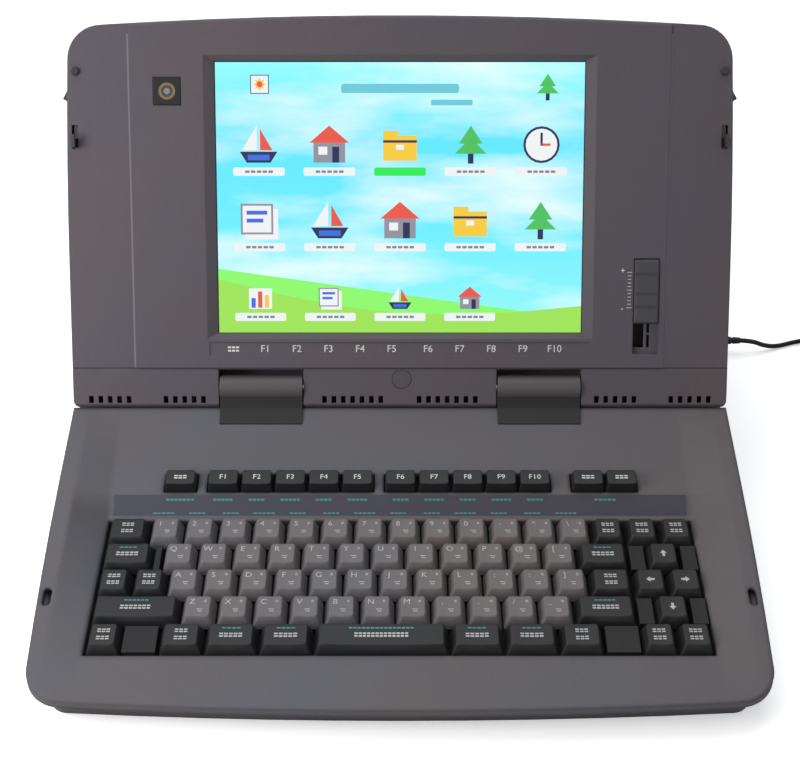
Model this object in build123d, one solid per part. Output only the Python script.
from build123d import *
from math import atan2, cos, degrees, dist, pi, radians, sin, sqrt, tan
import os

# Electronic word processor: a wedge-shaped base with a keyboard in front and a printer behind,
# and a lid with the screen, hinged across the middle.  Millimetres and degrees.
# X to the right, Y away from the typist, Z up.  The origin is on the table, under the middle.

# ---- driving dimensions: the whole machine ----
DEPTH = 372.0
HALF_WIDTH = 193.5
LIP_HEIGHT = 21.0
RIM_TILT = 10.5
DECK_TILT = 5.0
LIP_TO_AXIS = 215.0
AXIS_LIFT = 7.5
TOP_HEIGHT = 92.0
REAR_HEIGHT = 76.0
WALL = 2.5
SKIRT = 4.5
FLARE = 8.5
FOOT_HEIGHT = 2.0

# ---- outline, shared by base and lid ----
SIDE_BOW_RADIUS = 3000.0
SIDE_BOW_START = 70.0
FRONT_BOW_RADIUS = 2800.0
FRONT_CORNER = 20.0
REAR_CORNER = 12.0

# ---- hinge and lid ----
LID_ELEVATION = 62.2
LID_LENGTH = 215.5
LID_THICKNESS = 23.0
LID_WALL = 2.1
LID_PARTING = 9.0
AXIS_BEHIND_FACE = 5.5
LID_TAIL = 11.8
TAIL_FRONT_RADIUS = 5.0
TAIL_BACK_RADIUS = 9.5
TROUGH_RADIUS = 19.0
TROUGH_FRONT = 9.6
PIN_RADIUS = 2.0
RUNNING_GAP = 0.05
BARREL_RADIUS = 7.4
COVER_INNER_X = 57.7
COVER_OUTER_X = 106.5
NOTCH_CLEARANCE = 0.7
SIDE_ZONE_STEP = 0.8
PANEL_HALF_WIDTH = 155.5

# ---- screen ----
SCREEN_CENTRE = 110.8
SCREEN_HALF_WIDTH = 105.6
SCREEN_HALF_HEIGHT = 77.15
GLASS_DEPTH = 4.6
GLASS_THICKNESS = 1.6
LIGHT_THICKNESS = 7.4
BLACK_BORDER = 1.6

# ---- keyboard ----
UNIT = 19.0
KEYBOARD_LEFT = -164.1
KEYBOARD_UNITS = 17.25
KEYBOARD_FRONT = 35.2
KEY_ROWS = 5
KEY_GAP = 1.0
CAP_TOP = 4.5
CAP_HEIGHT = 7.7
KEY_LEAN = (2.65, 2.9, 1.2)
KEY_TRAVEL = 3.2
TRAVEL_STOP = 0.6
PLATE_TOP = CAP_TOP - CAP_HEIGHT - KEY_TRAVEL - TRAVEL_STOP
PLATE_THICKNESS = 1.2
STEM_SIDE = 4.0
STEM_HOLE = 4.8
STEM_DROP = 7.8
CAP_WALL = 1.2
DISH_SAG = 0.45
WELL_MARGIN = 0.6
FRAME_WALL = 2.0

# ---- function keys, measured in the rim plane ----
FUNCTION_PITCH = 19.1
FUNCTION_WIDTH = 18.2
FUNCTION_DEPTH = 12.6
FUNCTION_CENTRE = 62.6
FUNCTION_TOP = 0.6
FUNCTION_HEIGHT = 8.6
FUNCTION_LEAN = (0.95, 0.6, 1.8)
FUNCTION_TRAVEL = 2.2
FUNCTION_PLATE_TOP = FUNCTION_TOP - FUNCTION_HEIGHT - FUNCTION_TRAVEL - TRAVEL_STOP
FUNCTION_STEM_DROP = 6.0

# ---- sunken floor of the base: distances in front of the hinge axis, heights over the rim ----
RISER_FOOT = 81.6
RISER_HEAD = 70.6
TERRACE_LEVEL = -6.2
SCOOP_START = 50.0
SCOOP_END = 10.0
SCOOP_STEPS = 4
CHEEK_INNER_X = 165.0
CHEEK_OUTER_X = 184.0

# ---- latches ----
LATCH_X = 187.6
LATCH_FROM_AXIS = 144.6
LATCH_TRAVEL = 2.5
LATCH_REACH = 6.2
BARB_THICKNESS = 1.5

LIP_Y = -DEPTH / 2
NODES = {}


def slope(degrees_up):
    """Unit vector in the YZ plane that rises at this angle, seen going away from the typist."""
    return cos(radians(degrees_up)), sin(radians(degrees_up))


def rim_yz(u, w):
    """YZ point u in front of the hinge axis, measured along the rim, and w above the rim."""
    along, up = slope(RIM_TILT)
    return LIP_Y + (LIP_TO_AXIS - u) * along - w * up, LIP_HEIGHT + (LIP_TO_AXIS - u) * up + w * along


AXIS_Y, AXIS_Z = rim_yz(0, AXIS_LIFT)
RIM_ALONG, RIM_UP = slope(RIM_TILT)
RIM = Plane(origin=(0, LIP_Y, LIP_HEIGHT), x_dir=(1, 0, 0), z_dir=(0, -RIM_UP, RIM_ALONG))
DECK_ALONG, DECK_UP = slope(DECK_TILT)
DECK = Plane(origin=(0, LIP_Y, LIP_HEIGHT), x_dir=(1, 0, 0), z_dir=(0, -DECK_UP, DECK_ALONG))
LID_UP_Y, LID_UP_Z = slope(LID_ELEVATION)
LID = Plane(
    origin=(0, AXIS_Y - AXIS_BEHIND_FACE * LID_UP_Z, AXIS_Z + AXIS_BEHIND_FACE * LID_UP_Y),
    x_dir=(1, 0, 0),
    z_dir=(0, -LID_UP_Z, LID_UP_Y),
)


def keep(name, shape):
    """Names one physical piece, or one group of equal pieces."""
    NODES[name] = shape
    return shape


def block(x, y, z):
    """Box between the two limits given for each axis."""
    centre = ((x[0] + x[1]) / 2, (y[0] + y[1]) / 2, (z[0] + z[1]) / 2)
    return Pos(*centre) * Box(abs(x[1] - x[0]), abs(y[1] - y[0]), abs(z[1] - z[0]))


def mirrored(shape):
    """The shape and its mirror image in the machine's middle plane."""
    return [shape, mirror(shape, Plane.YZ)]


def rod(radius, x_from, x_to, y, z):
    """Round rod along X."""
    return Pos(x_from, y, z) * extrude(Plane.YZ * Circle(radius), x_to - x_from, dir=(1, 0, 0))


def side_prism(face, x_from, x_to):
    """Prism along X of a face drawn in side view."""
    return Pos(x_from, 0, 0) * extrude(Plane.YZ * face, x_to - x_from, dir=(1, 0, 0))


def straight_face(points):
    return make_face(Polyline(*points, close=True))


# ---------------------------------------------------------------- outlines


def rounded_outline(corner_y, straight_y, end_y, end_corner, bow):
    """Plan outline with bowed front and sides: corner_y is the front corners' Y, bow is how far
    the front's middle stands ahead of them, end_y is the straight rear edge."""
    narrowing = (straight_y - corner_y) ** 2 / (2 * SIDE_BOW_RADIUS)
    half_way = (straight_y + corner_y) / 2
    half_narrowing = (straight_y - half_way) ** 2 / (2 * SIDE_BOW_RADIUS)
    corner_x = HALF_WIDTH - narrowing
    side_x = HALF_WIDTH - half_narrowing
    right = [(HALF_WIDTH, straight_y), (HALF_WIDTH, end_y)]
    left = [(-HALF_WIDTH, end_y), (-HALF_WIDTH, straight_y)]
    edges = (
        ThreePointArc((-corner_x, corner_y), (0, corner_y - bow), (corner_x, corner_y))
        + ThreePointArc((corner_x, corner_y), (side_x, half_way), right[0])
        + Polyline(*right, *left)
        + ThreePointArc(left[1], (-side_x, half_way), (-corner_x, corner_y))
    )
    face = make_face(edges)
    front = [v for v in face.vertices() if abs(v.Y - corner_y) < 0.01]
    face = fillet(front, FRONT_CORNER)
    rear = [v for v in face.vertices() if abs(v.Y - end_y) < 0.01]
    return fillet(rear, end_corner)


FRONT_BOW = (HALF_WIDTH - 3.0) ** 2 / (2 * FRONT_BOW_RADIUS)


def base_outline(inset):
    face = rounded_outline(
        LIP_Y + FRONT_BOW, LIP_Y + LIP_TO_AXIS - SIDE_BOW_START, DEPTH / 2, REAR_CORNER, FRONT_BOW
    )
    return offset(face, amount=-inset) if inset else face


def lid_outline(inset):
    """The lid's outline with its hinge end at the bottom: the base's outline turned over."""
    beyond_tail = LID_TAIL + 0.4
    face = rounded_outline(-LID_LENGTH + FRONT_BOW, -SIDE_BOW_START, beyond_tail, 5.0, FRONT_BOW)
    face = mirror(face, Plane.XZ)
    return offset(face, amount=-inset) if inset else face


def base_prism(inset):
    return extrude(base_outline(inset), TOP_HEIGHT + 20)


# ---------------------------------------------------------------- base housing

PARTING_LEVEL = 40.0
REAR_SLOPE_START = 146.0
SEAM_Y = AXIS_Y + 15.0
WALL_ELEVATION = 55.0
SINK = 14.0


def parting_points():
    """Line, in side view, where the lower case meets the pieces above it."""
    along, up = slope(RIM_TILT)
    start = rim_yz(LIP_TO_AXIS + 20, -SKIRT)
    bend = (start[0] + (PARTING_LEVEL - start[1]) * along / up, PARTING_LEVEL)
    return [start, bend, (DEPTH / 2 + 20, PARTING_LEVEL)]


def below_parting(drop):
    """Side view of all that lies lower than this far under the parting line."""
    points = [(y, z - drop) for y, z in parting_points()]
    return straight_face(points + [(DEPTH / 2 + 20, -30), (LIP_Y - 20, -30)])


def housing_side(extra_depth):
    """Side view of the closed base: rim, trough round the hinge axis, wall behind it, top.
    extra_depth carries the underside that far below the parting line."""
    front_edge = rim_yz(TROUGH_FRONT, 0)
    front_foot = rim_yz(TROUGH_FRONT, AXIS_LIFT - sqrt(TROUGH_RADIUS**2 - TROUGH_FRONT**2))
    wall_y, wall_z = slope(WALL_ELEVATION)
    foot = (AXIS_Y + TROUGH_RADIUS * wall_z, AXIS_Z - TROUGH_RADIUS * wall_y)
    lowest = (AXIS_Y, AXIS_Z - TROUGH_RADIUS)
    head = (foot[0] + (TOP_HEIGHT - foot[1]) * wall_y / wall_z, TOP_HEIGHT)
    under = [(y, z - extra_depth) for y, z in parting_points()]
    edges = (
        Line(front_edge, front_foot)
        + ThreePointArc(front_foot, lowest, foot)
        + Polyline(foot, head, (REAR_SLOPE_START, TOP_HEIGHT), (DEPTH / 2 + 20, REAR_HEIGHT - 4))
        + Polyline((DEPTH / 2 + 20, REAR_HEIGHT - 4), under[2], under[1], under[0])
        + Polyline(under[0], rim_yz(LIP_TO_AXIS + 20, 0), front_edge)
    )
    return make_face(edges)


def floor_section(from_axis, level, drop):
    """Section across the sunken floor: level between the cheeks, which climb from it to the rim."""
    open_top = 40
    points = [
        (-CHEEK_OUTER_X, open_top),
        (-CHEEK_OUTER_X, -drop),
        (-CHEEK_INNER_X, level - drop),
        (CHEEK_INNER_X, level - drop),
        (CHEEK_OUTER_X, -drop),
        (CHEEK_OUTER_X, open_top),
    ]
    foot = RIM.from_local_coords((0, LIP_TO_AXIS - from_axis, 0))
    return Plane(origin=foot, x_dir=(1, 0, 0), z_dir=RIM.y_dir.reverse()) * straight_face(points)


def sunken_floor(drop):
    """What is cut out of the rim's wedge: palm rest and deck, label riser, terrace and rear scoop.
    drop lowers all of it, for the inner skin."""
    fall = tan(radians(RIM_TILT - DECK_TILT))
    before_lip = LIP_TO_AXIS + 12
    ahead = [
        floor_section(before_lip, (before_lip - LIP_TO_AXIS) * fall, drop),
        floor_section(RISER_FOOT, (RISER_FOOT - LIP_TO_AXIS) * fall, drop),
        floor_section(RISER_HEAD, TERRACE_LEVEL, drop),
        floor_section(SCOOP_START, TERRACE_LEVEL, drop),
    ]
    scoop = []
    for step in range(SCOOP_STEPS + 1):
        part = step / SCOOP_STEPS
        from_axis = SCOOP_START + (SCOOP_END - SCOOP_START) * part
        scoop.append(floor_section(from_axis, TERRACE_LEVEL * (1 - part**2), drop))
    floor = loft(ahead[:2], ruled=True) + loft(ahead[1:3], ruled=True) + loft(ahead[2:], ruled=True)
    return floor + loft(scoop)


def keyboard_well(margin, low, high):
    """Upright box of the deck round the whole key field."""
    right = KEYBOARD_LEFT + KEYBOARD_UNITS * UNIT
    field = block(
        (KEYBOARD_LEFT - margin, right + margin),
        (KEYBOARD_FRONT - margin, KEYBOARD_FRONT + KEY_ROWS * UNIT + margin),
        (low, high),
    )
    return DECK * field


FUNCTION_GROUPS = {
    "mode_key": [-125.0],
    "function_keys_left": [-100.6 + FUNCTION_PITCH * n for n in range(5)],
    "function_keys_right": [0.3 + FUNCTION_PITCH * n for n in range(5)],
    "menu_keys": [107.0, 107.0 + FUNCTION_PITCH],
}


def function_slot(centres, margin, low, high):
    """Box of the terrace round one group of function keys, in the rim plane."""
    near = LIP_TO_AXIS - FUNCTION_CENTRE - FUNCTION_DEPTH / 2
    return RIM * block(
        (centres[0] - FUNCTION_WIDTH / 2 - margin, centres[-1] + FUNCTION_WIDTH / 2 + margin),
        (near - margin, near + FUNCTION_DEPTH + margin),
        (low, high),
    )


def latch_slots():
    slot = extrude(SlotOverall(9.0 + LATCH_TRAVEL, 4.6, rotation=90), 12, both=True)
    placed = RIM * (Pos(LATCH_X, LIP_TO_AXIS - LATCH_FROM_AXIS - 1.2, 0) * slot)
    return mirrored(placed)


def make_housing():
    """Upper case in front of the seam and printer housing behind it, one wall thick.  The skin of
    the sunken floor hangs lower than the parting line; the outer walls stop at it."""
    solid = side_prism(housing_side(SINK), -HALF_WIDTH - 5, HALF_WIDTH + 5) & base_prism(0)
    core_side = offset(housing_side(SINK + 6), amount=-WALL, kind=Kind.INTERSECTION)
    core = side_prism(core_side, -HALF_WIDTH, HALF_WIDTH) & base_prism(WALL)
    shell = (solid - sunken_floor(0)) - (core - sunken_floor(1.1 * WALL))
    shell -= side_prism(below_parting(0), -HALF_WIDTH - 5, HALF_WIDTH + 5) - base_prism(FLARE + 5)
    front_half = block((-HALF_WIDTH - 5, HALF_WIDTH + 5), (LIP_Y - 10, SEAM_Y), (0, TOP_HEIGHT + 10))
    upper = shell & front_half
    rear = shell - front_half
    return upper, rear


def make_upper_case(front):
    case = front + keyboard_well(WELL_MARGIN + FRAME_WALL, PLATE_TOP, -1.0)
    case -= keyboard_well(WELL_MARGIN, -12, 20)
    for centres in FUNCTION_GROUPS.values():
        case += function_slot(centres, 2.4, FUNCTION_PLATE_TOP, TERRACE_LEVEL - 1)
    for centres in FUNCTION_GROUPS.values():
        case -= function_slot(centres, 0.6, TERRACE_LEVEL - 8, TERRACE_LEVEL + 8)
    for slot in latch_slots():
        case -= slot
    return case


COVER_HINGE_Y = 139.5
COVER_FRONT_Y = 86.0
COVER_HALF_WIDTH = 134.0
COVER_THICKNESS = 2.0
TRUNNION_RADIUS = 0.7
TRUNNION_LENGTH = 2.6
PAPER_SLOT_Y = 157.0


def make_printer_housing(rear):
    """Rear housing: opening under the printer cover, paper slot and switch hole."""
    half = COVER_HALF_WIDTH
    floor = TOP_HEIGHT - COVER_THICKNESS - 0.3
    open_top = TOP_HEIGHT + 5
    inside = block((-half + 5, half - 5), (COVER_FRONT_Y + 4, COVER_HINGE_Y - 8), (60, open_top))
    recess = block((-half - 0.5, half + 0.5), (COVER_FRONT_Y - 0.5, COVER_HINGE_Y + 3.5), (floor, open_top))
    ledge_z = (floor - 2.5, TOP_HEIGHT - 0.5)
    ledge = block((-half - 3, half + 3), (COVER_FRONT_Y - 3, COVER_HINGE_Y + 6), ledge_z)
    case = rear + ledge - recess - inside
    middle = TOP_HEIGHT - COVER_THICKNESS / 2
    bore_end = half + TRUNNION_LENGTH + 0.2
    case -= rod(TRUNNION_RADIUS + RUNNING_GAP, -bore_end, bore_end, COVER_HINGE_Y, middle)
    case -= block((-115, 115), (PAPER_SLOT_Y - 3, PAPER_SLOT_Y + 3), (70, TOP_HEIGHT + 5))
    rocker_hole = block((180, 200), (SWITCH_Y - 7.4, SWITCH_Y + 7.4), (SWITCH_Z - 4.5, SWITCH_Z + 4.5))
    return case - rocker_hole


# ---------------------------------------------------------------- lower case

PARTING_BEND_Y = parting_points()[1][0]
FLARE_INSET = 0.4
POST_PLACES = [(-140, 78), (58, 78), (-140, 162), (140, 162)]
BOARD_LEVEL = 9.0
BOARD_POSTS = [(-160, -34), (-160, 56), (50, -34), (50, 56), (-164, 94), (-76, 94), (-164, 150), (-76, 150)]
DRIVE_POSTS = [(78, 48), (168, 48), (78, 134), (168, 134)]
CHASSIS_FLOOR = 30.0
DRIVE_Y = (40.0, 142.0)
DRIVE_Z = (10.0, 27.0)
DRIVE_FRONT_X = 181.0
DISK_SLOT_Z = 21.5
EJECT_Y = 52.0
EJECT_Z = 14.0
INLET_Y = 157.0
INLET_Z = 10.0


def flared_edge(inset, depth):
    """Edge that follows the parting line and draws in at 45 degrees as it goes down."""
    rim_face = rounded_outline(FRONT_BOW, LIP_TO_AXIS - SIDE_BOW_START, 330, REAR_CORNER, FRONT_BOW)
    down = RIM.z_dir.reverse()
    sloping = Plane(origin=RIM.from_local_coords((0, 0, -SKIRT)), x_dir=(1, 0, 0), z_dir=down)
    level = Plane(origin=(0, 0, PARTING_LEVEL), x_dir=(1, 0, 0), z_dir=(0, 0, -1))
    front = extrude(sloping * mirror(offset(rim_face, amount=-inset), Plane.XZ), depth, taper=45)
    rear = extrude(level * mirror(base_outline(inset), Plane.XZ), depth, taper=45)
    ahead = block((-250, 250), (-250, PARTING_BEND_Y), (-50, 100))
    return (front & ahead) + (rear - ahead)


def tub(inset, floor):
    """Drawn-in tub, open at the top, from the floor up to the parting line."""
    walls = Pos(0, 0, floor) * extrude(base_outline(FLARE + FLARE_INSET + 1.2 + inset), 50, taper=-1.5)
    return walls & side_prism(below_parting(0), -250, 250)


def make_lower_case():
    case = tub(0, FOOT_HEIGHT) + flared_edge(FLARE_INSET, FLARE)
    hollow = tub(WALL, FOOT_HEIGHT + WALL) + flared_edge(FLARE_INSET + WALL * sqrt(2), FLARE + 0.5)
    case -= hollow
    for x, y in POST_PLACES:
        case += Pos(x, y, FOOT_HEIGHT) * extrude(Circle(5), CHASSIS_FLOOR - FOOT_HEIGHT)
    for x, y in BOARD_POSTS:
        case += Pos(x, y, FOOT_HEIGHT) * extrude(Circle(3.5), BOARD_LEVEL - FOOT_HEIGHT)
    for x, y in DRIVE_POSTS:
        case += Pos(x, y, FOOT_HEIGHT) * extrude(Circle(3.5), DRIVE_Z[0] - FOOT_HEIGHT)
    for x, y in POST_PLACES:
        case -= Pos(x, y, 0) * extrude(Circle(1.55), 50)
        case -= Pos(x, y, FOOT_HEIGHT - 1) * extrude(Circle(3.4), 3.2)
    side = (HALF_WIDTH - 25, HALF_WIDTH + 5)
    case -= block(side, (DRIVE_Y[0] + 4, DRIVE_Y[1] - 4), (DRIVE_Z[0] + 0.4, DRIVE_Z[1] - 0.4))
    case -= block(side, (INLET_Y - 10.3, INLET_Y + 10.3), (INLET_Z - 5.5, INLET_Z + 5.5))
    return case


# ---------------------------------------------------------------- keyboard

KEY_LAYOUT = [
    [("bottom_keys", 1, 1), ("key_fillers", 1, 1), ("bottom_keys", 1.25, 1), ("bottom_keys", 1.5, 2),
     ("convert_bar", 3.75, 1), ("bottom_keys", 1.5, 2), ("bottom_keys", 1.25, 1), ("key_fillers", 1, 1),
     ("execute_keys", 1, 2)],
    [("left_shift_key", 2.5, 1), ("lower_letter_keys", 1, 11), ("right_shift_key", 1.75, 1),
     ("key_fillers", 0.5, 1), ("cursor_keys", 1, 1), ("key_fillers", 0.5, 1)],
    [("home_side_keys", 1, 2), ("home_letter_keys", 1, 12), ("home_side_keys", 1.25, 1),
     ("cursor_keys", 1, 2)],
    [("tab_key", 1.5, 1), ("key_fillers", 0.25, 1), ("upper_letter_keys", 1, 12), ("return_key", 1.5, 1),
     ("key_fillers", 0.5, 1), ("cursor_keys", 1, 1), ("key_fillers", 0.5, 1)],
    [("edit_keys", 1.25, 1), ("number_keys", 1, 13), ("edit_keys", 1, 3)],
]
STEM_INSET = 13.0
WIDE_KEY = 2.4 * UNIT
SHEET_BELOW_PLATE = 7.4


def tapered_cap(width, depth, height, lean, shrink):
    """Truncated cap; lean is how far its sides, its front and its back draw in."""
    side, front, back = lean
    base = Rectangle(width - 2 * shrink, depth - 2 * shrink)
    top = Rectangle(width - 2 * side - 2 * shrink, depth - front - back - 2 * shrink)
    return loft([base, Pos(0, (front - back) / 2, height) * top], ruled=True)


def key_cap(width, depth, height, lean, stem_offsets, stem_drop):
    """Hollow cap with a dished top and square stems, standing on its lower edge at Z 0."""
    cap = tapered_cap(width, depth, height, lean, 0)
    top_width = width - 2 * lean[0]
    radius = (top_width / 2) ** 2 / (2 * DISH_SAG)
    cap -= Pos(0, 0, height - DISH_SAG + radius) * Rot(90, 0, 0) * Cylinder(radius, depth + 4)
    cap -= Pos(0, 0, -0.001) * tapered_cap(width, depth, height - 1.5 * CAP_WALL, lean, CAP_WALL)
    half = STEM_SIDE / 2
    for x in stem_offsets:
        cap += block((x - half, x + half), (-half, half), (-stem_drop, height - CAP_WALL))
    return cap


def stem_places(width):
    """A wide key is also guided near its ends."""
    if width < WIDE_KEY:
        return [0]
    return [STEM_INSET - width / 2, 0, width / 2 - STEM_INSET]


def key_cells():
    """Node, width, X and Y of the middle of every place in the key field, in the deck's plane."""
    cells = []
    for row, entries in enumerate(KEY_LAYOUT):
        x = KEYBOARD_LEFT
        for node, units, count in entries:
            for _ in range(count):
                cells.append((node, units * UNIT, x + units * UNIT / 2, KEYBOARD_FRONT + (row + 0.5) * UNIT))
                x += units * UNIT
    return cells


def key_filler(width, x, y):
    """Blank that closes a place without a key, standing on the guide plate."""
    foot = Pos(x, y, PLATE_TOP) * Rectangle(width - 0.8, UNIT - 0.8)
    return loft([foot, Pos(x, y, 1.2) * Rectangle(width - 1.6, UNIT - 1.6)], ruled=True)


def stem_hole(x, y, plate_top):
    half = STEM_HOLE / 2
    return block((x - half, x + half), (y - half, y + half), (plate_top - 2 * PLATE_THICKNESS, plate_top + 1))


def make_keys():
    """Every key of the main field, grouped by node, the fillers and the guide plate under them."""
    groups = {}
    caps = {}
    holes = []
    for node, width, x, y in key_cells():
        if node == "key_fillers":
            groups.setdefault(node, []).append(key_filler(width, x, y))
            continue
        stems = stem_places(width)
        if width not in caps:
            caps[width] = key_cap(width - KEY_GAP, UNIT - KEY_GAP, CAP_HEIGHT, KEY_LEAN, stems, STEM_DROP)
        groups.setdefault(node, []).append(Pos(x, y, CAP_TOP - CAP_HEIGHT) * caps[width])
        holes += [stem_hole(x + stem, y, PLATE_TOP) for stem in stems]
    for node, shapes in groups.items():
        keep(node, DECK * Compound(shapes))
    right = KEYBOARD_LEFT + KEYBOARD_UNITS * UNIT
    back = KEYBOARD_FRONT + KEY_ROWS * UNIT
    edge = WELL_MARGIN + FRAME_WALL
    plate_bottom = PLATE_TOP - PLATE_THICKNESS
    plate = block(
        (KEYBOARD_LEFT - edge, right + edge), (KEYBOARD_FRONT - edge, back + edge), (plate_bottom, PLATE_TOP)
    )
    keep("keyboard_plate", DECK * (plate - holes))
    sheet_top = plate_bottom - SHEET_BELOW_PLATE
    sheet = block((KEYBOARD_LEFT, right), (KEYBOARD_FRONT, back), (sheet_top - 1.0, sheet_top))
    keep("contact_sheet", DECK * sheet)


def make_function_keys():
    """The four groups of function keys on the terrace, and their guide plate."""
    cap = key_cap(FUNCTION_WIDTH, FUNCTION_DEPTH, FUNCTION_HEIGHT, FUNCTION_LEAN, [0], FUNCTION_STEM_DROP)
    y = LIP_TO_AXIS - FUNCTION_CENTRE
    low = FUNCTION_TOP - FUNCTION_HEIGHT
    plate = block((-150, 150), (y - 10, y + 11), (FUNCTION_PLATE_TOP - PLATE_THICKNESS, FUNCTION_PLATE_TOP))
    for node, centres in FUNCTION_GROUPS.items():
        keep(node, RIM * Compound([Pos(x, y, low) * cap for x in centres]))
        for x in centres:
            plate -= stem_hole(x, y, FUNCTION_PLATE_TOP)
    keep("function_key_plate", RIM * plate)


# ---------------------------------------------------------------- hinge


def cover_side():
    """Hinge cover in side view: barrel round the axis, front face and foot on the rim."""
    barrel = Pos(AXIS_Y, AXIS_Z) * Circle(BARREL_RADIUS)
    bore = Pos(AXIS_Y, AXIS_Z) * Circle(PIN_RADIUS + RUNNING_GAP)
    foot = straight_face(
        [
            rim_yz(20.5, -2.2),
            rim_yz(11.2, 1.4),
            rim_yz(7.3, 5.6),
            rim_yz(0, AXIS_LIFT),
            rim_yz(-7.2, 6.2),
            rim_yz(-9, -14),
            rim_yz(20.5, -14),
        ]
    )
    return barrel + foot - bore


def make_hinge(solid_housing):
    cover = side_prism(cover_side(), COVER_INNER_X, COVER_OUTER_X) - solid_housing
    cover = max(cover.solids(), key=lambda piece: piece.volume)
    keep("hinge_cover_left", mirror(cover, Plane.YZ))
    keep("hinge_cover_right", cover)
    pin = rod(PIN_RADIUS, COVER_INNER_X - 6.5, COVER_OUTER_X + 6.5, AXIS_Y, AXIS_Z)
    keep("hinge_pins", Compound(mirrored(pin)))
    # in side view local x is the depth behind the axis and local y runs up the lid
    arm = Rectangle(8.6, 23.5, align=(Align.CENTER, Align.MIN)) + Circle(4.3) - Circle(PIN_RADIUS)
    profile = arm & (Pos(2.2, 12) * Rectangle(9.4, 60))
    arms = []
    for x in (COVER_INNER_X - 6.0, COVER_OUTER_X + 3.5):
        side = Plane(origin=(x, 0, -AXIS_BEHIND_FACE), x_dir=(0, 0, -1), z_dir=(1, 0, 0))
        arms.append(LID * extrude(side * profile, 2.5))
    keep("hinge_arms", Compound([shape for arm in arms for shape in mirrored(arm)]))


# ---------------------------------------------------------------- lid

SLIDER_X = (136.7, 151.9)
SLIDER_V = (20.4, 76.7)
KNOB_V = (38.6, 75.9)
SLIDER_FLOOR = -3.2
SLIDER_SLOT_X = (137.4, 143.6)
BADGE_CENTRE = (-133.9, 172.7)
BADGE_SIDE = 15.8
DISC_CENTRE = (1.0, 5.5)
DISC_RADIUS = 5.5
TAB_V = (166.4, 175.6)
HOOK_V = (140.8, 148.2)
VENT_PITCH = 5.55
VENT_HALF_WIDTH = 1.35
VENT_V = (-8.9, -4.7)
VENT_GROUPS = [(28.0, 7), (127.4, 5), (171.5, 5)]
STRIP_TOP = 11.9


LID_SIDE_POINTS = [
    (-LID_TAIL, 0),
    (LID_LENGTH + 5, 0),
    (LID_LENGTH + 5, -LID_THICKNESS + 3),
    (-LID_TAIL, -LID_THICKNESS),
]


def lid_side(grow):
    """Closed lid in side view, as (height up the lid, depth): flat face, round tail, tapered back."""
    face = straight_face(LID_SIDE_POINTS)
    tail_front = face.vertices().sort_by_distance((-LID_TAIL, 0, 0))[0]
    face = fillet(tail_front, TAIL_FRONT_RADIUS)
    tail_back = face.vertices().sort_by_distance((-LID_TAIL, -LID_THICKNESS, 0))[0]
    face = fillet(tail_back, TAIL_BACK_RADIUS)
    return offset(face, amount=-grow, kind=Kind.INTERSECTION) if grow else face


def lid_solid(inset):
    """Local solid: x across, y up the lid, z out of the face."""
    side = Plane(origin=(-HALF_WIDTH - 5, 0, 0), x_dir=(0, 1, 0), z_dir=(1, 0, 0)) * lid_side(inset)
    across = extrude(side, 2 * HALF_WIDTH + 10)
    return across & (Pos(0, 0, -LID_THICKNESS - 1) * extrude(lid_outline(inset), LID_THICKNESS + 2))


def notch(x_grow, top_grow):
    high = STRIP_TOP - 0.6 + top_grow
    return mirrored(
        block(
            (COVER_INNER_X - NOTCH_CLEARANCE - x_grow, COVER_OUTER_X + NOTCH_CLEARANCE + x_grow),
            (-LID_TAIL - 5, high),
            (-LID_THICKNESS - 5, 5),
        )
    )


def round_the_pins():
    """Space round the hinge pins, both sides."""
    boxes = mirrored(block((COVER_INNER_X - 8, COVER_OUTER_X + 8), (-6, 6), (-LID_THICKNESS, -1.0)))
    return boxes[0] + boxes[1]


def lid_shell():
    """Hollow lid with the two hinge notches walled in, before it is parted into front and back."""
    middle_view = Plane(origin=(-HALF_WIDTH - 5, 0, 0), x_dir=(0, 1, 0), z_dir=(1, 0, 0))
    slab = extrude(middle_view * straight_face(LID_SIDE_POINTS), 2 * HALF_WIDTH + 10)
    outer = slab & (Pos(0, 0, -LID_THICKNESS - 1) * extrude(lid_outline(0), LID_THICKNESS + 2))
    outer = fillet(outer.faces().sort_by(Axis.Z)[0].edges(), 4.5)
    outer = fillet(outer.faces().sort_by(Axis.Z)[-1].edges(), 2.4)
    outer = outer & extrude(middle_view * lid_side(0), 2 * HALF_WIDTH + 10)
    core = lid_solid(LID_WALL)
    core -= notch(LID_WALL, LID_WALL)
    shell = outer - notch(0, 0) - core
    bore = Plane(origin=(0, 0, -AXIS_BEHIND_FACE), x_dir=(0, 1, 0), z_dir=(1, 0, 0))
    shell -= extrude(bore * Circle(PIN_RADIUS + 0.3), HALF_WIDTH - 20, both=True) & round_the_pins()
    return shell


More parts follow.
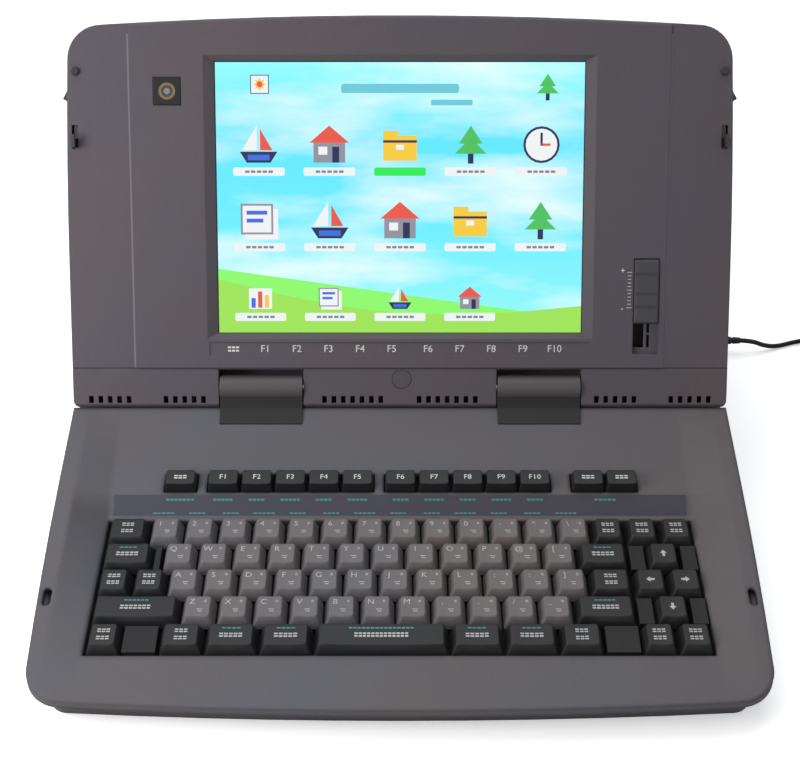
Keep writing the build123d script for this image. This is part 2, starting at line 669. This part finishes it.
def make_bezel(shell):
    """Front of the lid: raised middle panel, screen opening with bevelled edge, slider recess,
    label strip, vents along the tail, latch slots."""
    bezel = shell & block((-250, 250), (-50, 300), (-LID_PARTING, 5))
    step = block((PANEL_HALF_WIDTH, 250), (STRIP_TOP, 300), (-SIDE_ZONE_STEP, 5))
    strip = block((-250, 250), (-50, STRIP_TOP), (-SIDE_ZONE_STEP, 5))
    half_width = SCREEN_HALF_WIDTH + BLACK_BORDER
    half_height = SCREEN_HALF_HEIGHT + BLACK_BORDER
    frame = Pos(0, SCREEN_CENTRE + 0.5) * block(
        (-half_width - 8.8, half_width + 8.8), (-half_height - 7.2, half_height + 7.2), (-GLASS_DEPTH, -1.0)
    )
    pocket = block((SLIDER_X[0] - 2, SLIDER_X[1] + 2), (SLIDER_V[0] - 2, SLIDER_V[1] + 2), (-4.9, -1.0))
    bezel += frame
    bezel += pocket
    for cut in mirrored(step):
        bezel -= cut
    bezel -= strip
    groove = block((-250, 250), (STRIP_TOP - 0.35, STRIP_TOP + 0.35), (-SIDE_ZONE_STEP - 0.6, 5))
    bezel -= groove
    outer_mouth = Pos(0, SCREEN_CENTRE + 0.5, 0.02) * Rectangle(2 * half_width + 12.0, 2 * half_height + 6.2)
    inner_mouth = Pos(0, SCREEN_CENTRE + 0.5, -3.4) * Rectangle(2 * half_width, 2 * half_height)
    bezel -= loft([outer_mouth, inner_mouth], ruled=True)
    bezel -= Pos(0, SCREEN_CENTRE + 0.5, 0) * Box(2 * half_width, 2 * half_height, 30)
    bezel -= block((-112, 111.4), (19.6, 27.3), (-0.4, 5))
    bezel -= block(SLIDER_X, SLIDER_V, (SLIDER_FLOOR, 5))
    bezel -= block(SLIDER_SLOT_X, (24, 72), (-6, 0))
    bezel -= block((145.3, 147.0), (24, 31.4), (-6, 0))
    bezel -= block((145.3, 147.0), (32.6, 72), (-6, 0))
    badge_x, badge_v = BADGE_CENTRE
    bezel -= Pos(badge_x, badge_v, 0) * Box(BADGE_SIDE + 0.3, BADGE_SIDE + 0.3, 2.0)
    bezel -= Pos(*DISC_CENTRE, -SIDE_ZONE_STEP) * Cylinder(DISC_RADIUS + 0.15, 1.6)
    vents = []
    for middle, count in VENT_GROUPS:
        for n in range(count):
            x = middle + (n - (count - 1) / 2) * VENT_PITCH
            vents += mirrored(block((x - VENT_HALF_WIDTH, x + VENT_HALF_WIDTH), VENT_V, (-7.5, 2)))
    bezel -= vents
    hook_room = block((LATCH_X - 1.8, LATCH_X + 1.8), (HOOK_V[0] - 0.8, HOOK_V[1] + 5.2), (-5, 2))
    tab_room = block((186.0, 200), (TAB_V[0] - 1.0, TAB_V[1] + 3.6), (-7.6, -2.9))
    for cut in mirrored(hook_room) + mirrored(tab_room):
        bezel -= cut
    return bezel


def make_lid():
    shell = lid_shell()
    keep("lid_bezel", LID * make_bezel(shell))
    keep("lid_back_cover", LID * (shell & block((-250, 250), (-50, 300), (-40, -LID_PARTING))))
    low = SCREEN_CENTRE - SCREEN_HALF_HEIGHT - 3.45
    high = SCREEN_CENTRE + SCREEN_HALF_HEIGHT + 4.45
    glass_back = -GLASS_DEPTH - GLASS_THICKNESS
    light_back = glass_back - LIGHT_THICKNESS
    keep("lcd_panel", LID * block((-109.5, 109.5), (low, high), (glass_back, -GLASS_DEPTH)))
    light = block((-113, 113), (low - 3, high + 3), (light_back, glass_back))
    light -= [Pos(x, v, light_back) * Cylinder(1.6, 4) for x in (-109, 109) for v in (low, high)]
    keep("backlight_unit", LID * light)
    board = block((-46, 46), (13, 24), (-13.2, -12.0))
    board += block((-40, -18), (14.5, 22.5), (-17.2, -13.2))
    board += block((10, 22), (15, 22), (-16.0, -13.2))
    keep("inverter_board", LID * board)
    badge = Pos(*BADGE_CENTRE, -0.35) * Box(BADGE_SIDE, BADGE_SIDE, 1.3)
    badge = chamfer(badge.faces().sort_by(Axis.Z)[-1].edges(), 0.3)
    disc = Pos(*DISC_CENTRE, -SIDE_ZONE_STEP - 0.25) * Cylinder(DISC_RADIUS, 1.1)
    keep("lid_badges", LID * Compound([badge, disc]))
    bumper = Cone(2.6, 1.9, 2.2, align=(Align.CENTER, Align.CENTER, Align.MIN))
    keep("lid_bumpers", LID * Compound(mirrored(Pos(186.3, 184.0, -SIDE_ZONE_STEP) * bumper)))


def make_contrast_knob():
    """Knob with grip ridges, held through the slot by a wider foot behind the floor."""
    knob = block((SLIDER_X[0] + 0.4, SLIDER_X[1] - 0.4), KNOB_V, (SLIDER_FLOOR + 0.15, 1.4))
    knob = chamfer(knob.faces().sort_by(Axis.Z)[-1].edges(), 1.0)
    for v in (48.4, 56.0, 67.5):
        knob -= Pos((SLIDER_X[0] + SLIDER_X[1]) / 2, v, 1.6) * Box(20, 1.6, 1.6)
    stem_x = (SLIDER_SLOT_X[0] + 0.8, SLIDER_SLOT_X[1] - 0.8)
    knob += block(stem_x, (52, 62), (-5.4, -1))
    knob += block((stem_x[0] - 2.4, stem_x[1] + 2.4), (52, 62), (-6.6, -5.2))
    return keep("contrast_knob", LID * knob)


def make_latch():
    """Slider inside the lid's edge: thumb tab out of the side, hook out of the face."""
    bar = block((184.6, 188.6), (139, 177), (-6.9, -3.4))
    low, high = TAB_V
    outline = [(187, low + 2), (191, low), (194.6, low + 2), (190.6, high), (187, high)]
    tab = Pos(0, 0, -6.6) * extrude(straight_face(outline), 3.0)
    hook = block((LATCH_X - 1.0, LATCH_X + 1.0), (HOOK_V[0], HOOK_V[1] - 2.4), (-5, LATCH_REACH))
    hook += block((LATCH_X - 1.0, LATCH_X + 1.0), HOOK_V, (LATCH_REACH - BARB_THICKNESS, LATCH_REACH))
    latch = bar + tab + hook
    keep("latch_right", LID * latch)
    keep("latch_left", LID * mirror(latch, Plane.YZ))


# ---------------------------------------------------------------- inside the base

PLATEN_Y = 120.0
PLATEN_Z = 60.0
PLATEN_RADIUS = 15.0
PLATEN_HALF = 128.0
ROD_Y = 84.0
ROD_Z = 56.0
ROD_RADIUS = 4.0
PLATE_X = 146.0
BELT_Y = 70.0


def make_boards():
    board = block((-172, 62), (-44, 66), (9.0, 10.6))
    chips = [(-140, -20, 28, 20), (-96, 18, 24, 24), (-50, -18, 30, 14), (-8, 22, 22, 22), (34, -24, 26, 12)]
    for x, y, length, width in chips:
        board += block((x - length / 2, x + length / 2), (y - width / 2, y + width / 2), (10.6, 13.4))
    power = block((-170, -70), (88, 155), (9.0, 10.6))
    power += block((-160, -125), (92, 124), (10.6, 27.0))
    power += Pos(-100, 105, 10.6) * Cylinder(9, 16, align=(Align.CENTER, Align.CENTER, Align.MIN))
    power += Pos(-100, 132, 10.6) * Cylinder(7, 14, align=(Align.CENTER, Align.CENTER, Align.MIN))
    keep("circuit_boards", Compound([board, power]))


def make_drive():
    """Disk drive with its mouth and button in the right side wall."""
    front = DRIVE_FRONT_X
    drive = block((front - 112, front), DRIVE_Y, DRIVE_Z)
    face_z = (DRIVE_Z[0] + 0.8, DRIVE_Z[1] - 0.8)
    drive += block((front, front + 2.2), (DRIVE_Y[0] + 4.4, DRIVE_Y[1] - 4.4), face_z)
    drive -= block((front - 88, front + 5), (46.0, 137.0), (DISK_SLOT_Z - 2.4, DISK_SLOT_Z + 2.4))
    drive -= block((front - 14, front + 5), (EJECT_Y - 5.3, EJECT_Y + 5.3), (EJECT_Z - 2.3, EJECT_Z + 2.3))
    keep("floppy_drive", drive)
    button = block((front - 9, front + 6.5), (EJECT_Y - 5, EJECT_Y + 5), (EJECT_Z - 2, EJECT_Z + 2))
    keep("eject_button", chamfer(button.faces().sort_by(Axis.X)[-1].edges(), 0.5))


def make_inlet():
    """Two-pin inlet sunk in the side wall."""
    inlet = block((168, 185.2), (INLET_Y - 10, INLET_Y + 10), (INLET_Z - 5.2, INLET_Z + 5.2))
    inlet -= block((173, 200), (INLET_Y - 8, INLET_Y + 8), (INLET_Z - 3.4, INLET_Z + 3.4))
    for y in (INLET_Y - 4, INLET_Y + 4):
        inlet += rod(1.1, 172, 183, y, INLET_Z)
    keep("power_inlet", inlet)


SWITCH_Y = 160.0
SWITCH_Z = 58.0
SWITCH_X = 188.0
SWITCH_SWING = 7.0


def make_switch():
    """Rocker in the right side wall, pivoting in its own frame; it rests tipped to one side."""
    wall = HALF_WIDTH - WALL
    frame = block((SWITCH_X - 10, wall), (SWITCH_Y - 9, SWITCH_Y + 9), (SWITCH_Z - 6.5, SWITCH_Z + 6.5))
    frame -= block((SWITCH_X - 7.5, 200), (SWITCH_Y - 7.4, SWITCH_Y + 7.4), (SWITCH_Z - 4.5, SWITCH_Z + 4.5))
    pivot = Pos(SWITCH_X, SWITCH_Y, SWITCH_Z)
    frame -= pivot * Cylinder(1.25, 11)
    keep("switch_frame", frame)
    rocker = fillet(Box(9.6, 12.6, 8.4).edges().filter_by(Axis.Z), 0.8) + Cylinder(1.2, 10.6)
    keep("power_switch", pivot * Rot(0, 0, -SWITCH_SWING) * rocker)


def make_printer():
    chassis = block((-PLATE_X, PLATE_X), (60, 168), (CHASSIS_FLOOR, CHASSIS_FLOOR + 1.6))
    side_face = Pos(120, 52) * Rectangle(92, 44)
    side_face = fillet(side_face.vertices().group_by(Axis.Y)[-1], 10)
    for x in (-PLATE_X, PLATE_X - 2):
        chassis += side_prism(side_face, x, x + 2)
    chassis -= rod(3.0 + RUNNING_GAP, -PLATE_X - 5, PLATE_X + 5, PLATEN_Y, PLATEN_Z)
    chassis -= rod(ROD_RADIUS, -PLATE_X - 5, PLATE_X + 5, ROD_Y, ROD_Z)
    for x, y in POST_PLACES:
        chassis -= Pos(x, y, CHASSIS_FLOOR - 1) * extrude(Circle(1.5), 5)
    keep("printer_chassis", chassis)
    keep("carriage_rod", rod(ROD_RADIUS, -PLATE_X - 3, PLATE_X + 3, ROD_Y, ROD_Z))
    roller = rod(PLATEN_RADIUS, -PLATEN_HALF, PLATEN_HALF, PLATEN_Y, PLATEN_Z)
    roller += rod(3.0, -PLATE_X - 8, PLATE_X + 8, PLATEN_Y, PLATEN_Z)
    keep("platen_roller", roller)
    carriage = block((-17, 17), (77, 98), (40, 64)) + block((-6, 6), (97, 103.5), (50, 70))
    carriage += block((-14, 14), (74, 97), (63, 66))
    carriage -= rod(ROD_RADIUS + RUNNING_GAP, -20, 20, ROD_Y, ROD_Z)
    keep("print_carriage", carriage)
    cassette = block((-38, 38), (68, 96), (66, 76)) - block((-7, 7), (90, 97), (60, 80))
    keep("ribbon_cassette", chamfer(cassette.edges().filter_by(Axis.Z).group_by(Axis.Y)[0], 6))
    motor = rod(13.5, -PLATE_X - 30, -PLATE_X, 148, 46)
    belt = Pos(0, BELT_Y, 44) * extrude(SlotOverall(276, 10) - SlotOverall(274, 8), 6)
    floor = CHASSIS_FLOOR + 1.6
    pulley = Pos(133, BELT_Y, 43) * extrude(Circle(3.95), 8)
    pulley += Pos(133, BELT_Y, floor) * extrude(Circle(2), 44 - floor)
    keep("carriage_drive", Compound([motor, belt] + mirrored(pulley)))
    guide = [(PAPER_SLOT_Y + 3.5, 82), (PAPER_SLOT_Y + 5, 82), (143, 50), (141, 48), (139.5, 49.5)]
    keep("paper_guide", side_prism(straight_face(guide), 2 - PLATE_X, PLATE_X - 2))
    screw = extrude(Circle(1.5), CHASSIS_FLOOR + 3 - 3.4) + Pos(0, 0, -0.6) * extrude(Circle(3.1), 1.2)
    keep("case_screws", Compound([Pos(x, y, 3.4) * screw for x, y in POST_PLACES]))


def make_printer_cover():
    """Access cover in the top, on two short trunnions at its rounded rear edge, with a finger notch."""
    low = TOP_HEIGHT - COVER_THICKNESS
    wide = (-COVER_HALF_WIDTH, COVER_HALF_WIDTH)
    cover = block(wide, (COVER_FRONT_Y, COVER_HINGE_Y), (low, TOP_HEIGHT))
    middle = TOP_HEIGHT - COVER_THICKNESS / 2
    cover += rod(COVER_THICKNESS / 2, *wide, COVER_HINGE_Y, middle)
    pivot_end = COVER_HALF_WIDTH + TRUNNION_LENGTH
    cover += rod(TRUNNION_RADIUS, -pivot_end, pivot_end, COVER_HINGE_Y, middle)
    cover -= Pos(0, COVER_FRONT_Y, TOP_HEIGHT) * Cylinder(9, 8)
    keep("printer_cover", cover)


def make_feet():
    foot = extrude(Circle(6.8), FOOT_HEIGHT, taper=-12)
    keep("rubber_feet", Compound([Pos(x, y, 0) * foot for x in (-155, 155) for y in (-155, 155)]))


# ---------------------------------------------------------------- mains lead

CORD_DIAMETER = 3.2
CONNECTOR_X = 185.2
CONNECTOR_LENGTH = 20.8
RELIEF_LENGTH = 28.0
FLOOR_LEVEL = 1.7
CORD_ROUTE = [
    (CONNECTOR_X + CONNECTOR_LENGTH + RELIEF_LENGTH, INLET_Y, INLET_Z),
    (243.0, 157.3, 9.3),
    (252.0, 158.6, 4.4),
    (262.0, 161.8, FLOOR_LEVEL),
    (273.0, 166.6, FLOOR_LEVEL),
    (288.0, 171.0, FLOOR_LEVEL),
    (302.5, 172.3, FLOOR_LEVEL),
]
COIL_PITCH = 3.72
COIL_INNER = 12.32
COIL_LAYERS = 4
HALF_TURNS = 7
LAST_QUARTERS_LEFT_OFF = 3
COIL_LEAD_IN = 3.5
TAIL_ROUTE = [
    (0.5, -11.2, -0.2),
    (1.4, -22.6, -1.3),
    (2.8, -33.6, -4.5),
    (4.0, -44.6, -6.1),
    (4.6, -55.0, -6.36),
]
PLUG_HALF_HEIGHT = 6.5


def rounded_path(points):
    """Straight runs joined by the largest arcs that the shorter run beside each corner allows."""
    radii = []
    for before, here, after in zip(points, points[1:], points[2:]):
        way_in = Vector(*here) - Vector(*before)
        way_out = Vector(*after) - Vector(*here)
        half_turn = radians(way_in.get_angle(way_out)) / 2
        radii.append(0.45 * min(way_in.length, way_out.length) / tan(half_turn))
    print("lead: arc radii", [round(radius, 1) for radius in radii])
    return FilletPolyline(*points, radius=radii)


def swept(path, radius):
    """Round tube along a path."""
    section = Plane(origin=path.position_at(0), z_dir=path.tangent_at(0)) * Circle(radius)
    return sweep(section, path=path)


def coil_steps():
    """Half pitches outside the innermost turn, at every half turn of the winding.  It spirals in
    and out in turn, and steps twice as far just after each reversal, to clear the climb."""
    steps = [HALF_TURNS]
    for layer in range(COIL_LAYERS):
        way = -1 if layer % 2 == 0 else 1
        for n in range(HALF_TURNS):
            first_of_upper_layer = layer > 0 and n == 0
            steps.append(steps[-1] + (2 * way if first_of_upper_layer else way))
    return steps


def coil_track():
    """Points and directions of the winding's centreline at every quarter turn."""
    radii = [COIL_INNER + step * COIL_PITCH / 2 for step in coil_steps()]
    centre_x = CORD_ROUTE[-1][0] + COIL_LEAD_IN
    centre_y = CORD_ROUTE[-1][1] - radii[0]
    track = []
    for index in range(len(radii) - 1):
        layer = index // HALF_TURNS
        climbing = index % HALF_TURNS == HALF_TURNS - 1 and layer < COIL_LAYERS - 1
        growth = radii[index + 1] - radii[index]
        growth_before = radii[index] - radii[index - 1] if index else 0
        for half in (0, 1):
            angle = pi / 2 - (index + half / 2) * pi
            reach = radii[index] + growth * half / 2
            rise = COIL_PITCH if climbing and half else 0
            outward = (growth if half else (growth + growth_before) / 2) if track else 0
            height = FLOOR_LEVEL + COIL_PITCH * layer + rise / 2
            point = Vector(centre_x + reach * cos(angle), centre_y + reach * sin(angle), height)
            along = Vector(
                sin(angle) * reach * pi + cos(angle) * outward,
                -cos(angle) * reach * pi + sin(angle) * outward,
                rise * pi / 2,
            )
            track.append((point, along.normalized()))
    track = track[: len(track) - LAST_QUARTERS_LEFT_OFF + 1]
    track[-1] = (track[-1][0], Vector(0, -1, 0))
    return track


def biarc(start, start_way, end, end_way):
    """Two arcs that meet tangentially, with equal tangent lengths at both ends."""
    gap = end - start
    both = start_way + end_way
    a = both.dot(both) - 4
    b = -2 * gap.dot(both)
    c = gap.dot(gap)
    reach = (-b - sqrt(b * b - 4 * a * c)) / (2 * a)
    joint = (start + start_way * reach + end - end_way * reach) * 0.5
    first = TangentArc(start, joint, tangent=start_way)
    return [first, TangentArc(joint, end, tangent=first.tangent_at(1))]


def least_gap(path, radius):
    """Smallest gap between two stretches of the tube that are over four diameters apart along it."""
    count = int(path.length / 1.2)
    spots = [tuple(path.position_at(n / count)) for n in range(count + 1)]
    skip = int(8 * radius / 1.2) + 1
    least = min(dist(spots[n], other) for n in range(count) for other in spots[n + skip :])
    return least - 2 * radius


def make_cord():
    """Lead as it leaves its strain relief, the put-away winding, the tail and the plug."""
    radius = CORD_DIAMETER / 2
    free = rounded_path(CORD_ROUTE)
    keep("power_cord", swept(free, radius))
    track = coil_track()
    edges = [Line(CORD_ROUTE[-1], track[0][0])]
    for (start, start_way), (end, end_way) in zip(track, track[1:]):
        edges += biarc(start, start_way, end, end_way)
    coil_end = track[-1][0] - Vector(0, CORD_DIAMETER, 0)
    edges.append(Line(track[-1][0], coil_end))
    winding = Wire(edges)
    keep("cord_coil", swept(winding, radius))
    tail_points = [tuple(coil_end)] + [tuple(coil_end + Vector(*offset_point)) for offset_point in TAIL_ROUTE]
    tail = rounded_path(tail_points)
    keep("cord_tail", swept(tail, radius))
    print("winding: least gap to itself", round(least_gap(winding, radius), 2))
    print("lead: whole length", round(free.length + winding.length + tail.length, 1))
    make_plug(Vector(*tail_points[-1]))


def make_connector():
    """Appliance connector: nose in the inlet, rounded body, tapered strain relief with grooves."""
    nose = block((176, CONNECTOR_X + 1), (INLET_Y - 7.7, INLET_Y + 7.7), (INLET_Z - 3.1, INLET_Z + 3.1))
    for y in (INLET_Y - 4, INLET_Y + 4):
        nose -= rod(1.25, 170, 184, y, INLET_Z)
    end = CONNECTOR_X + CONNECTOR_LENGTH
    body_face = fillet(Rectangle(19, 10.4).vertices(), 3.5)
    start_plane = Plane(origin=(CONNECTOR_X, INLET_Y, INLET_Z), x_dir=(0, 1, 0), z_dir=(1, 0, 0))
    body = extrude(start_plane * body_face, CONNECTOR_LENGTH)
    body = chamfer(body.faces().sort_by(Axis.X)[-1].edges(), 1.6)
    relief_plane = Plane(origin=(end, INLET_Y, INLET_Z), x_dir=(0, 1, 0), z_dir=(1, 0, 0))
    slope_angle = degrees(atan2(4.1 - 2.1, RELIEF_LENGTH))
    relief = extrude(relief_plane * Circle(4.1), RELIEF_LENGTH, taper=slope_angle)
    for n in range(5):
        groove = Cylinder(6, 1.4) - Cylinder(3.1 - 0.3 * n, 1.4)
        relief -= Pos(end + 4 + 4.6 * n, INLET_Y, INLET_Z) * Rot(0, 90, 0) * groove
    keep("cord_connector", nose + body + relief)


def make_plug(start):
    """Two-blade plug lying on the floor, pointing toward the front."""
    plane = Plane(origin=start, x_dir=(1, 0, 0), z_dir=(0, -1, 0))
    relief = plane * extrude(Circle(2.1), 18, taper=-6)
    profile = fillet(Rectangle(21, 2 * PLUG_HALF_HEIGHT).vertices(), 3)
    body = plane * (Pos(0, 0, 17) * extrude(profile, 22))
    body = chamfer(body.faces().sort_by(Axis.Y)[-1].edges(), 1.5)
    plug = relief + body
    for x in (-6.35, 6.35):
        plug += plane * (Pos(x, 0, 38.5) * Box(1.5, 6.3, 17.5, align=(Align.CENTER, Align.CENTER, Align.MIN)))
    keep("mains_plug", plug)


def write_parts():
    os.makedirs("parts", exist_ok=True)
    for name, shape in NODES.items():
        shape.label = name
        export_step(shape, "parts/" + name + ".step")


def main():
    front, rear = make_housing()
    keep("upper_case", make_upper_case(front))
    keep("printer_housing", make_printer_housing(rear))
    keep("lower_case", make_lower_case())
    make_keys()
    make_function_keys()
    solid = side_prism(housing_side(0), -HALF_WIDTH - 5, HALF_WIDTH + 5) & base_prism(0)
    make_hinge(solid - sunken_floor(0))
    make_lid()
    make_contrast_knob()
    make_latch()
    make_boards()
    make_drive()
    make_inlet()
    make_switch()
    make_printer()
    make_printer_cover()
    make_feet()
    make_connector()
    make_cord()
    write_parts()


if __name__ == "__main__":
    main()
